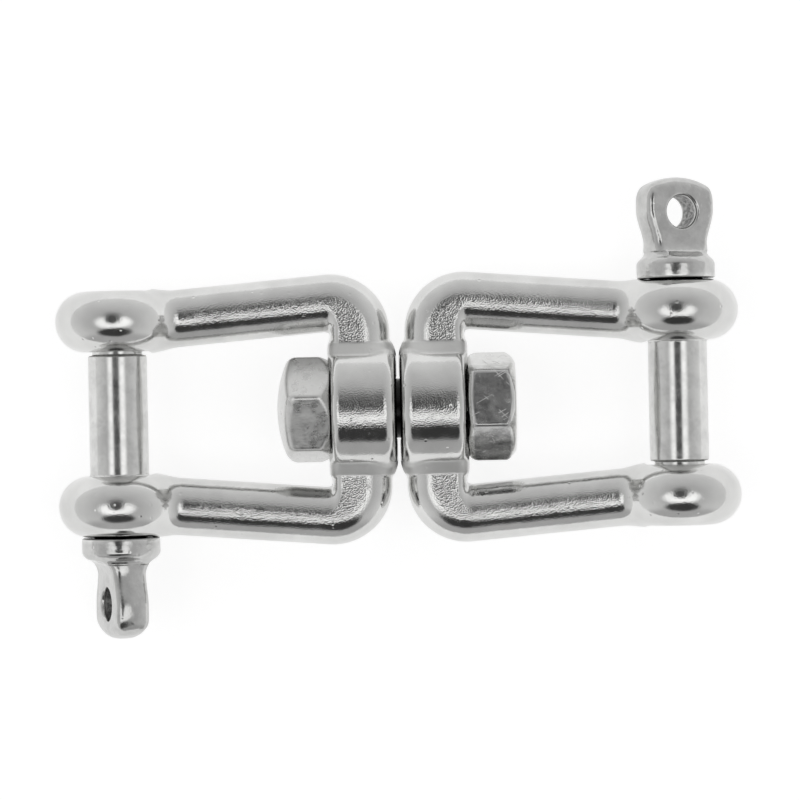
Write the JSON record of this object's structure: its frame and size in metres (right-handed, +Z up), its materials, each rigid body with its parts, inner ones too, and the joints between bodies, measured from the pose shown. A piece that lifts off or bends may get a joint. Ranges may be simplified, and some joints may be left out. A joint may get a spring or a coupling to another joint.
{
  "type": "jaw-and-jaw anchor swivel",
  "caption": "Stainless anchor swivel: two cast forks turn on a hex bolt and nut, and a screw clevis pin with a drilled tab closes each fork.",
  "frame": {"origin": "middle of the gap between the two hubs, on the swivel axis", "axes": "+X along the swivel axis to the right jaw, +Y along the right clevis pin to its tab, +Z up out of the flat side that it lies on"},
  "size_m": [0.0922, 0.0608, 0.0174],
  "materials": {
    "cast_jaw": "cast stainless steel, tumble polished",
    "bolt": "forged stainless steel, polished",
    "nut": "machined stainless steel",
    "pin": "turned and polished stainless steel"
  },
  "bodies": {
    "left_jaw": {"left_jaw": "cast_jaw"},
    "right_jaw": {"right_jaw": "cast_jaw"},
    "swivel_bolt": {"swivel_bolt": "bolt", "swivel_nut": "nut"},
    "left_pin": {"left_pin": "pin"},
    "right_pin": {"right_pin": "pin"}
  },
  "joints": [
    {"name": "swivel", "type": "hinge", "parent": "left_jaw", "child": "right_jaw", "pos_m": [0, 0, 0], "axis": [1, 0, 0], "continuous": true},
    {"name": "bolt_spin", "type": "hinge", "parent": "left_jaw", "child": "swivel_bolt", "pos_m": [0, 0, 0], "axis": [1, 0, 0], "continuous": true},
    {"name": "left_pin_draw", "type": "slide", "parent": "left_jaw", "child": "left_pin", "axis": [0, -1, 0], "range_m": [0, 0.05]},
    {"name": "right_pin_draw", "type": "slide", "parent": "right_jaw", "child": "right_pin", "axis": [0, 1, 0], "range_m": [0, 0.05]}
  ]
}
